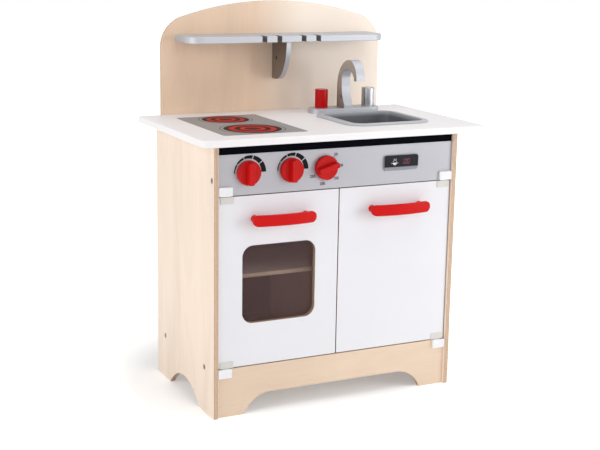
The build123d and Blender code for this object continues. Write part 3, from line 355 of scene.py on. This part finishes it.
# Painted shade for left and right faces, at their foot and at their top: in the shelf's notches, on the
# bracket's sides and on the spout's sides, browner at the spout's foot as a painted reflection of the wood
NOTCH_SHADES = ((0.40, 0.38, 0.39), (0.40, 0.38, 0.39))
BRACKET_SHADES = ((0.50, 0.39, 0.31), (0.42, 0.31, 0.22))
SPOUT_SHADES = ((0.48, 0.36, 0.28), (0.85, 0.75, 0.62))
silver_paint("silver_fascia", PANEL_SILVER, 0.48, 0.35, "control_panel")
silver_paint("silver_plate", SHELF_SILVER, 0.42, 0.45, "tap_plate")
silver_paint("silver_shelf", SHELF_SILVER, 0.42, 0.3, "splash_shelf", NOTCH_SHADES)
silver_paint("silver_bracket", SHELF_SILVER, 0.42, 0.45, "shelf_bracket", BRACKET_SHADES)
silver_paint("silver_spout", SPOUT_LIT_SILVER, 0.42, 0.25, "spout", SPOUT_SHADES)
silver_paint("silver_tap", TAP_SILVER, 0.28, 0.85, "cold_tap", flake_depth=0.0)

KNOB_RED = (0.54, 0.006, 0.006)
HANDLE_RED = (0.60, 0.008, 0.008)
TAP_RED = (0.46, 0.003, 0.005)
plastic("red_knobs", KNOB_RED, 0.38, "knob_oven_left", "knob_oven_right", "knob_thermostat", specular=0.15)
plastic("red_handles", HANDLE_RED, 0.22, "oven_handle", "storage_handle", specular=0.08)
plastic("red_tap", TAP_RED, 0.18, "hot_tap", specular=0.12)
plastic("white_hinges", (0.84, 0.84, 0.86), 0.4, "hinge_brackets")
plastic("clip_plastic", (0.66, 0.64, 0.60), 0.45, "oven_door_clips", "storage_door_clips")
plastic("grey_plastic", (0.27, 0.27, 0.31), 0.40, "display_base", "battery_box", "battery_cover")
plastic("lens_black", (0.008, 0.008, 0.013), 0.3, "display_lens", specular=0.12, cloudiness=0.0)
plastic("lamp_plastic", (0.45, 0.02, 0.015), 0.35, "burner_lamps")
plastic("white_inner", (0.78, 0.78, 0.76), 0.45, "magnet_catches", "hot_tap_spindle", "cold_tap_spindle",
        "knob_spindle_oven_left", "knob_spindle_oven_right", "knob_spindle_thermostat")
plastic("beech_blocks", (0.66, 0.45, 0.27), 0.55, "corner_blocks", "shelf_pegs", grain_rate=600.0)
plastic("cell_jacket", (0.40, 0.42, 0.45), 0.35, "batteries")
plastic("ferrite", (0.06, 0.06, 0.065), 0.6, "catch_magnets")
plastic("hob_sheet", (0.285, 0.272, 0.272), 0.4, "hob_panel", specular=0.2, grain_rate=500.0)
metal("dark_zinc", (0.26, 0.25, 0.25), 0.42, "cabinet_bolts")
metal("zinc", (0.66, 0.66, 0.67), 0.30, "wood_screws", "bracket_screws", "spout_bolt",
      "oven_handle_screws", "storage_handle_screws", "oven_door_screws", "storage_door_screws",
      "oven_strike_plate", "storage_strike_plate", "click_springs")
metal("browned_steel", (0.05, 0.032, 0.022), 0.55, "barrel_nuts", "spout_barrel_nut")

RIM_GREY = (0.48, 0.49, 0.52)
# Painted shade: the basin darkens from the rim's grey to this down in the bowl
BOWL_PAINTED_SHADE = (0.135, 0.14, 0.155)
BOWL_SHADE_START = 12.0 * MM
BOWL_SHADE_END = 1.0 * MM
SMOKE = (0.160, 0.092, 0.098)


def basin_plastic():
    """Grey plastic with a coarse grain, darkened by painted shade down in the bowl below the flat of the
    rim.
    """
    finish = Finish("basin_plastic", RIM_GREY, 0.42, specular=0.3)
    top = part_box("sink_basin")[1][2]
    rise = finish.map_range(finish.place("Z"), top - BOWL_SHADE_START, top - BOWL_SHADE_END)
    cloud = finish.noise(18.0, detail=2.0)
    tone = finish.mix(rise, (*BOWL_PAINTED_SHADE, 1.0), (*RIM_GREY, 1.0))
    finish.set("Base Color", finish.multiply(tone, finish.ramp(cloud, (0.3, 0.95), (0.7, 1.0))))
    grain = finish.noise(1500.0, detail=2.0)
    finish.set("Roughness", finish.ramp(grain, (0.3, 0.46), (0.7, 0.39)))
    finish.bump(grain, 0.02 * MM, 0.4)
    finish.put_on("sink_basin")


def smoked_pane():
    """Smoked acrylic, which shows the oven's shelf dimly."""
    finish = Finish("smoked_acrylic", SMOKE, 0.12, specular=0.25)
    cloud = finish.noise(6.0, detail=2.0)
    finish.set("Alpha", finish.ramp(cloud, (0.3, 0.19), (0.7, 0.22)))
    finish.put_on("window_pane")


basin_plastic()
smoked_pane()


# Thin printed plates

def front_place(x, y, z):
    """Plate axes for a print on a front face: right, up, and out towards the front."""
    return Matrix(((1, 0, 0, x), (0, 0, -1, y), (0, 1, 0, z), (0, 0, 0, 1)))


def back_place(x, y, z):
    """Plate axes for a mark on a rear face: left, up, and out towards the back."""
    return Matrix(((-1, 0, 0, x), (0, 0, 1, y), (0, 1, 0, z), (0, 0, 0, 1)))


def top_place(x, y, z):
    """Plate axes for a print on a top face."""
    return Matrix.Translation((x, y, z))


def polar(radius, angle, center=(0.0, 0.0)):
    """The point at this distance and angle from a center."""
    return (center[0] + radius * cos(angle), center[1] + radius * sin(angle))


def arc(radius, first, last, center, steps):
    """Points along an arc, both ends included; angles in radians."""
    return [polar(radius, first + (last - first) * step / steps, center) for step in range(steps + 1)]


def new_piece(name, shape, place, material, body="cabinet"):
    """A visible piece from this shape; it moves with its body."""
    mesh = bpy.data.meshes.new(name)
    shape.to_mesh(mesh)
    shape.free()
    mesh.transform(place)
    mesh.materials.append(material)
    piece = bpy.data.objects.new(name, mesh)
    bpy.context.collection.objects.link(piece)
    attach(piece, body)


def add_prism(shape, outline, height=INK_HEIGHT):
    """A thin plate with this closed outline, from 0 up to its height."""
    base = [shape.verts.new((u, v, 0.0)) for u, v in outline]
    top = [shape.verts.new((u, v, height)) for u, v in outline]
    shape.faces.new(list(reversed(base)))
    shape.faces.new(top)
    for index in range(len(outline)):
        following = (index + 1) % len(outline)
        shape.faces.new((base[index], base[following], top[following], top[index]))


def add_disc(shape, radius, height=INK_HEIGHT, center=(0.0, 0.0), steps=RING_STEPS):
    """A thin round plate."""
    add_prism(shape, arc(radius, 0.0, 2 * pi, center, steps)[:-1], height)


def add_ring(shape, inner, outer, height):
    """A thin flat ring."""
    turns = [2 * pi * step / RING_STEPS for step in range(RING_STEPS)]
    rows = [
        [shape.verts.new((*polar(radius, turn), level)) for turn in turns]
        for radius, level in ((inner, 0.0), (outer, 0.0), (outer, height), (inner, height))
    ]
    for row, next_row in zip(rows, rows[1:] + rows[:1]):
        for step in range(RING_STEPS):
            following = (step + 1) % RING_STEPS
            shape.faces.new((row[step], row[following], next_row[following], next_row[step]))


def add_stroke(shape, start, end, width):
    """A straight bar with pointed ends, as in a seven-segment digit."""
    start, end = Vector(start), Vector(end)
    direction = (end - start).normalized()
    side = Vector((-direction.y, direction.x)) * width / 2
    tip = direction * width / 2
    outline = [start, start + tip - side, end - tip - side, end, end - tip + side, start + tip + side]
    add_prism(shape, [tuple(point) for point in outline])


# Hob: two burners printed on the sheet

BURNER_X = -0.186
# Each burner's middle along Y, and its radius
BURNERS = {"front": (-0.080, 0.067), "back": (0.080, 0.057)}
HOB_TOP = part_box("hob_panel")[1][2]
# Each ring's name, layer of print, inner and outer edge as shares of the burner's radius, and colour
BURNER_RINGS = (
    ("disc", 1, 0.0, 1.0, (0.030, 0.007, 0.006)),
    ("outer", 2, 0.63, 0.82, (0.48, 0.026, 0.019)),
    ("inner", 2, 0.29, 0.44, (0.56, 0.034, 0.024)),
    ("middle", 2, 0.0, 0.24, (0.050, 0.012, 0.010)),
    ("edge", 1, 1.11, 1.135, (0.035, 0.035, 0.038)),
)


def burner(name, center_y, radius):
    """Prints one burner, ring by ring, on the hob panel."""
    place = top_place(BURNER_X, center_y, HOB_TOP)
    for ring, layer, inner, outer, color in BURNER_RINGS:
        shape = bmesh.new()
        height = INK_HEIGHT * layer
        if inner:
            add_ring(shape, inner * radius, outer * radius, height)
        else:
            add_disc(shape, outer * radius, height)
        piece_name = f"burner_{name}_{ring}"
        new_piece(piece_name, shape, place, ink(piece_name, color))


for burner_name, (burner_y, burner_radius) in BURNERS.items():
    burner(burner_name, burner_y, burner_radius)


# Control panel: power scales, thermostat scale and display

PANEL_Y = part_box("control_panel")[0][1]
KNOB_Z = 0.570
OVEN_KNOBS = {"left": -0.231, "right": -0.125}
SCALE_INNER = 0.032
SCALE_OUTER = 0.0393
SCALE_SHIFT = 0.0045
SCALE_PARTS = 5
SCALE_PART_STEPS = 12
SCALE_GAP = radians(3.0)
black_ink = ink("black_ink", (0.005, 0.005, 0.007))
grey_ink = ink("grey_ink", (0.020, 0.018, 0.024))


def scale_radius(angle):
    """Outer edge of a power scale, a circle that lies off the knob's middle."""
    across = SCALE_SHIFT * sin(angle)
    return SCALE_SHIFT * cos(angle) + sqrt(SCALE_OUTER**2 - across**2)


def power_scale(name, knob_x):
    """Crescent that grows from nine o'clock round to three o'clock, in parts."""
    shape = bmesh.new()
    part_angle = pi / SCALE_PARTS
    for part in range(SCALE_PARTS):
        first = pi - part * part_angle - (SCALE_GAP / 2 if part else 0.0)
        last = pi - (part + 1) * part_angle + (SCALE_GAP / 2 if part < SCALE_PARTS - 1 else 0.0)
        angles = [first + (last - first) * step / SCALE_PART_STEPS for step in range(SCALE_PART_STEPS + 1)]
        inner = [polar(SCALE_INNER, angle) for angle in angles]
        outer = [polar(scale_radius(angle), angle) for angle in reversed(angles)]
        add_prism(shape, inner + outer)
    new_piece(f"power_scale_{name}", shape, front_place(knob_x, PANEL_Y, KNOB_Z), black_ink)


for scale_name, scale_x in OVEN_KNOBS.items():
    power_scale(scale_name, scale_x)

THERMOSTAT_X = -0.037
# Each printed number's angle round the knob, in degrees from three o'clock
MARKS = {"50": 48, "100": 3, "150": -45, "200": -101, "250": -150}
MARK_RADIUS = 0.0385
DOT_CIRCLE = 0.0318
DOT_STEPS = 20
MARK_DOT = 0.0014
STEP_DOT = 0.0009
DIGIT_HEIGHT = 0.0066
FONT_SIZE_PER_HEIGHT = 1.4
DIGIT_BOLDNESS = 0.00028


def number(name, text, place, material):
    """A printed number, centred on its place."""
    curve = bpy.data.curves.new(name, type="FONT")
    curve.body = text
    curve.size = DIGIT_HEIGHT * FONT_SIZE_PER_HEIGHT
    curve.align_x = "CENTER"
    curve.align_y = "CENTER"
    curve.extrude = INK_HEIGHT
    curve.offset = DIGIT_BOLDNESS
    writer = bpy.data.objects.new(f"{name}_writer", curve)
    bpy.context.collection.objects.link(writer)
    drawn = writer.evaluated_get(bpy.context.evaluated_depsgraph_get())
    shape = bmesh.new()
    shape.from_mesh(bpy.data.meshes.new_from_object(drawn))
    bpy.data.objects.remove(writer)
    bpy.data.curves.remove(curve)
    new_piece(name, shape, place, material)


for mark, degrees in MARKS.items():
    mark_x, mark_z = polar(MARK_RADIUS, radians(degrees))
    mark_place = front_place(THERMOSTAT_X + mark_x, PANEL_Y, KNOB_Z + mark_z)
    number(f"thermostat_{mark}", mark, mark_place, grey_ink)

dots = bmesh.new()
dot_spread = MARKS["250"] - MARKS["50"]
sized_dots = [(degrees, MARK_DOT) for degrees in MARKS.values()]
sized_dots += [(MARKS["50"] + dot_spread * step / DOT_STEPS, STEP_DOT) for step in range(DOT_STEPS + 1)]
for degrees, dot_radius in sized_dots:
    add_disc(dots, dot_radius, center=polar(DOT_CIRCLE, radians(degrees)), steps=DOT_EDGE_STEPS)
new_piece("thermostat_dots", dots, front_place(THERMOSTAT_X, PANEL_Y, KNOB_Z), grey_ink)

# Display: a pot and two digits on the lens
LENS_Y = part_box("display_lens")[0][1]
POT_X = 0.1438
POT_Z = 0.5705
DIGITS_X = (0.1712, 0.1802)
DIGITS_Z = 0.5725
SEGMENT_HALF = 0.0029
SEGMENT_RISE = 0.0055
SEGMENT_WIDTH = 0.0013
SEGMENT_SLANT = 0.12
DISPLAY_RED = (0.22, 0.012, 0.03)
DISPLAY_RED_DIM = (0.16, 0.008, 0.02)
DISPLAY_RED_BRIGHT = (0.28, 0.02, 0.045)
white_ink = ink("white_ink", (0.80, 0.80, 0.84))


def display_ink():
    """Dull red of the two digits, in slight clouds."""
    finish = Finish("display_red", DISPLAY_RED, 0.4)
    cloud = finish.noise(160.0, detail=2.0)
    finish.set("Base Color", finish.ramp(cloud, (0.3, DISPLAY_RED_DIM), (0.7, DISPLAY_RED_BRIGHT)))
    return finish.material


def slanted(u, v):
    """A point of an upright digit, moved as the digits lean."""
    return (u + v * SEGMENT_SLANT, v)


digits = bmesh.new()
for digit_x in DIGITS_X:
    offset = digit_x - DIGITS_X[0]
    corners = {
        (side, level): Vector(slanted(side * SEGMENT_HALF, level * SEGMENT_RISE)) + Vector((offset, 0.0))
        for side in (-1, 1)
        for level in (-1, 0, 1)
    }
    for side in (-1, 1):
        add_stroke(digits, corners[side, -1], corners[side, 0], SEGMENT_WIDTH)
        add_stroke(digits, corners[side, 0], corners[side, 1], SEGMENT_WIDTH)
    for level in (-1, 1):
        add_stroke(digits, corners[-1, level], corners[1, level], SEGMENT_WIDTH)
new_piece("display_digits", digits, front_place(DIGITS_X[0], LENS_Y, DIGITS_Z), display_ink())

POT_BRIM = 0.0065
POT_RADIUS = 0.0055
POT_CENTER = (0.0, -0.0005)
LID_RADII = (0.0043, 0.0051)
LID_CENTER = (0.0, 0.0010)
STEAM_X = (-0.0030, 0.0, 0.0030)
STEAM_FOOT = 0.0066
STEAM_TOP = 0.0095
STEAM_LEAN = 0.0008
STEAM_WIDTH = 0.0010
EAR_INNER = 0.0060
EAR_OUTER = 0.0095
EAR_DROP = -0.0012
EAR_WIDTH = 0.0012
pot = bmesh.new()
pot_bowl = arc(POT_RADIUS, 0.0, -pi, POT_CENTER, POT_STEPS)
add_prism(pot, [(POT_BRIM, 0.0)] + pot_bowl + [(-POT_BRIM, 0.0)])
lid_inner, lid_outer = (arc(radius, 0.0, pi, LID_CENTER, POT_STEPS) for radius in LID_RADII)
add_prism(pot, lid_outer + lid_inner[::-1])
for steam_x in STEAM_X:
    add_stroke(pot, (steam_x, STEAM_FOOT), (steam_x + STEAM_LEAN, STEAM_TOP), STEAM_WIDTH)
add_stroke(pot, (-EAR_OUTER, EAR_DROP), (-EAR_INNER, EAR_DROP), EAR_WIDTH)
add_stroke(pot, (EAR_INNER, EAR_DROP), (EAR_OUTER, EAR_DROP), EAR_WIDTH)
new_piece("display_pot", pot, front_place(POT_X, LENS_Y, POT_Z), white_ink)

# Cross recesses of the screws in the splashback, drawn as flat dark marks of painted shade
SPLASH_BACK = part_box("splashback")[1][1]
SCREW_HEAD_SINK = 0.2 * MM
RAIL_SCREWS = (-0.240, -0.080, 0.080, 0.240)
SHELF_SCREWS = (-0.220, -0.110, 0.110, 0.220)
RAIL_SCREW_Z = 0.600
SHELF_SCREW_Z = 0.842
CROSS_ARM = 0.0021
CROSS_WIDTH = 0.0008
recess_shade_marks = ink("recess_painted_shade", (0.03, 0.03, 0.03))
crosses = bmesh.new()
screw_places = [(x, RAIL_SCREW_Z) for x in RAIL_SCREWS] + [(x, SHELF_SCREW_Z) for x in SHELF_SCREWS]
for screw_x, screw_z in screw_places:
    center = Vector((-screw_x, screw_z))
    for arm in (Vector((CROSS_ARM, 0.0)), Vector((0.0, CROSS_ARM))):
        add_stroke(crosses, center - arm, center + arm, CROSS_WIDTH)
new_piece("screw_crosses", crosses, back_place(0.0, SPLASH_BACK - SCREW_HEAD_SINK, 0.0), recess_shade_marks)


# Studio

def seen_directly(tree):
    """1 for rays from the camera, off mirrors and through panes, and 0 for the rest."""
    path = tree.nodes.new("ShaderNodeLightPath")
    seen = path.outputs["Is Camera Ray"]
    for other in ("Is Glossy Ray", "Is Transmission Ray"):
        joined = tree.nodes.new("ShaderNodeMath")
        joined.operation = "MAXIMUM"
        tree.links.new(seen, joined.inputs[0])
        tree.links.new(path.outputs[other], joined.inputs[1])
        seen = joined.outputs[0]
    return seen


FLOOR_HALF = 14.0
FLOOR_COLOR = (0.90, 0.90, 0.90)
# The floor's glow, from the near to the far distance from the kitchen's middle
FLOOR_GLOW_NEAR = 0.26
FLOOR_GLOW_FAR = 1.0
FLOOR_NEAR = 0.42
FLOOR_FAR = 0.80
WORLD_LIGHT = 0.42
LAMP_AIM = (0.0, 0.0, 0.4)


def studio_floor():
    """White sheet that keeps the shadow near the kitchen and runs out to pure white."""
    finish = Finish("studio_floor", FLOOR_COLOR, 0.9, specular=0.0)
    paper = finish.noise(3.0, detail=2.0)
    shade = finish.ramp(paper, (0.3, 0.995), (0.7, 1.0))
    finish.set("Base Color", finish.multiply((*FLOOR_COLOR, 1.0), shade))
    place = finish.coordinates.outputs["Object"]
    away = finish.add("ShaderNodeVectorMath", {0: place}, operation="LENGTH").outputs["Value"]
    glow = finish.map_range(away, FLOOR_NEAR, FLOOR_FAR, FLOOR_GLOW_NEAR, FLOOR_GLOW_FAR)
    finish.set("Emission Color", (1.0, 1.0, 1.0, 1.0))
    finish.set("Emission Strength", finish.math("MULTIPLY", glow, seen_directly(finish.tree)))
    shape = bmesh.new()
    corners = [(FLOOR_HALF * x, FLOOR_HALF * y, 0.0) for x, y in ((-1, -1), (1, -1), (1, 1), (-1, 1))]
    shape.faces.new([shape.verts.new(corner) for corner in corners])
    mesh = bpy.data.meshes.new("studio_floor")
    shape.to_mesh(mesh)
    shape.free()
    mesh.materials.append(finish.material)
    floor = bpy.data.objects.new("studio_floor", mesh)
    bpy.context.collection.objects.link(floor)


def world_light():
    """White for the camera and for reflections, dimmer as a light."""
    world = bpy.data.worlds.new("studio_world")
    bpy.context.scene.world = world
    world.use_nodes = True
    tree = world.node_tree
    background = tree.nodes["Background"]
    background.inputs["Color"].default_value = (1.0, 1.0, 1.0, 1.0)
    level = tree.nodes.new("ShaderNodeMapRange")
    level.inputs["To Min"].default_value = WORLD_LIGHT
    level.inputs["To Max"].default_value = 1.0
    tree.links.new(seen_directly(tree), level.inputs["Value"])
    tree.links.new(level.outputs[0], background.inputs["Strength"])


def softbox(name, place, aim, size, power, color=(1.0, 1.0, 1.0)):
    """A rectangular lamp at its place, turned to its aim."""
    light = bpy.data.lights.new(name, type="AREA")
    light.shape = "RECTANGLE"
    light.size, light.size_y = size
    light.energy = power
    light.color = color
    lamp = bpy.data.objects.new(name, light)
    lamp.location = place
    lamp.rotation_euler = (Vector(aim) - Vector(place)).to_track_quat("-Z", "Y").to_euler()
    bpy.context.collection.objects.link(lamp)


def camera():
    """The photo's viewpoint: a target, two angles, a distance and a slight roll."""
    across = cos(CAMERA_ELEVATION)
    back = Vector((sin(CAMERA_AZIMUTH) * across, -cos(CAMERA_AZIMUTH) * across, sin(CAMERA_ELEVATION)))
    right = (-back).cross(Vector((0.0, 0.0, 1.0))).normalized()
    up = right.cross(-back)
    level = Matrix((right, up, back)).transposed().to_4x4()
    lens = bpy.data.cameras.new("camera")
    lens.lens = CAMERA_LENS
    viewer = bpy.data.objects.new("camera", lens)
    spot = Matrix.Translation(CAMERA_TARGET + back * CAMERA_DISTANCE)
    viewer.matrix_world = spot @ level @ Matrix.Rotation(CAMERA_ROLL, 4, "Z")
    bpy.context.collection.objects.link(viewer)
    bpy.context.scene.camera = viewer


studio_floor()
world_light()
# Each lamp's name, place, aim, size, watts and colour
softbox("left_window", (-3.2, -0.7, 1.3), LAMP_AIM, (2.2, 2.4), 50.0, (1.0, 0.985, 0.965))
softbox("front_box", (0.4, -3.6, 1.6), LAMP_AIM, (2.6, 2.0), 10.0)
softbox("right_box", (1.9, -1.8, 0.9), (0.2, 0.0, 0.5), (1.4, 1.4), 28.0, (0.97, 0.98, 1.0))
softbox("top_box", (0.3, -0.7, 3.3), (0.0, 0.0, 0.5), (2.4, 2.4), 38.0)
camera()
bpy.context.scene.view_settings.view_transform = "Standard"
